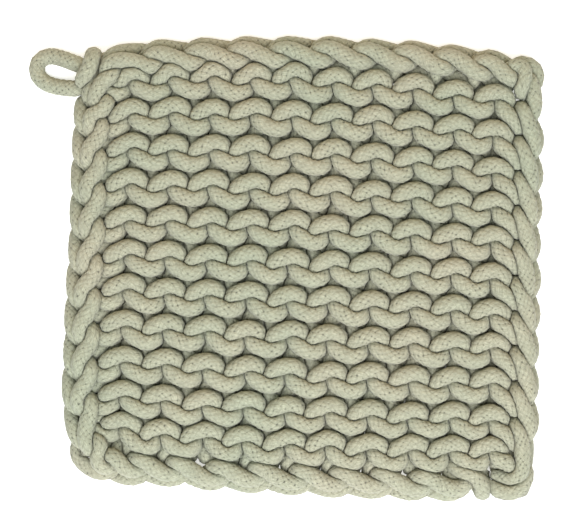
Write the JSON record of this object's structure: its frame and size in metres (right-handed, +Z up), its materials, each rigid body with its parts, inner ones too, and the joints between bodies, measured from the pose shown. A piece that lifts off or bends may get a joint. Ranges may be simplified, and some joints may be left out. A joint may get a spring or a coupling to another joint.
{
  "type": "knitted pot holder with a hanging loop",
  "caption": "Thick square pot holder hand-knitted in ridged garter stitch from braided cotton cord, with chained edges and a cord hanging loop at one corner.",
  "frame": {"origin": "middle of the knitted panel, on its underside", "axes": "+Z up out of the panel's face, +X along the knitted rows, +Y up the columns towards the edge with the loop"},
  "size_m": [0.2222, 0.1947, 0.018],
  "materials": {
    "cotton_cord": "matt braided cotton in greyish sage green"
  },
  "bodies": {
    "root": {"knit_panel": "cotton_cord", "hanging_loop": "cotton_cord"}
  },
  "joints": []
}
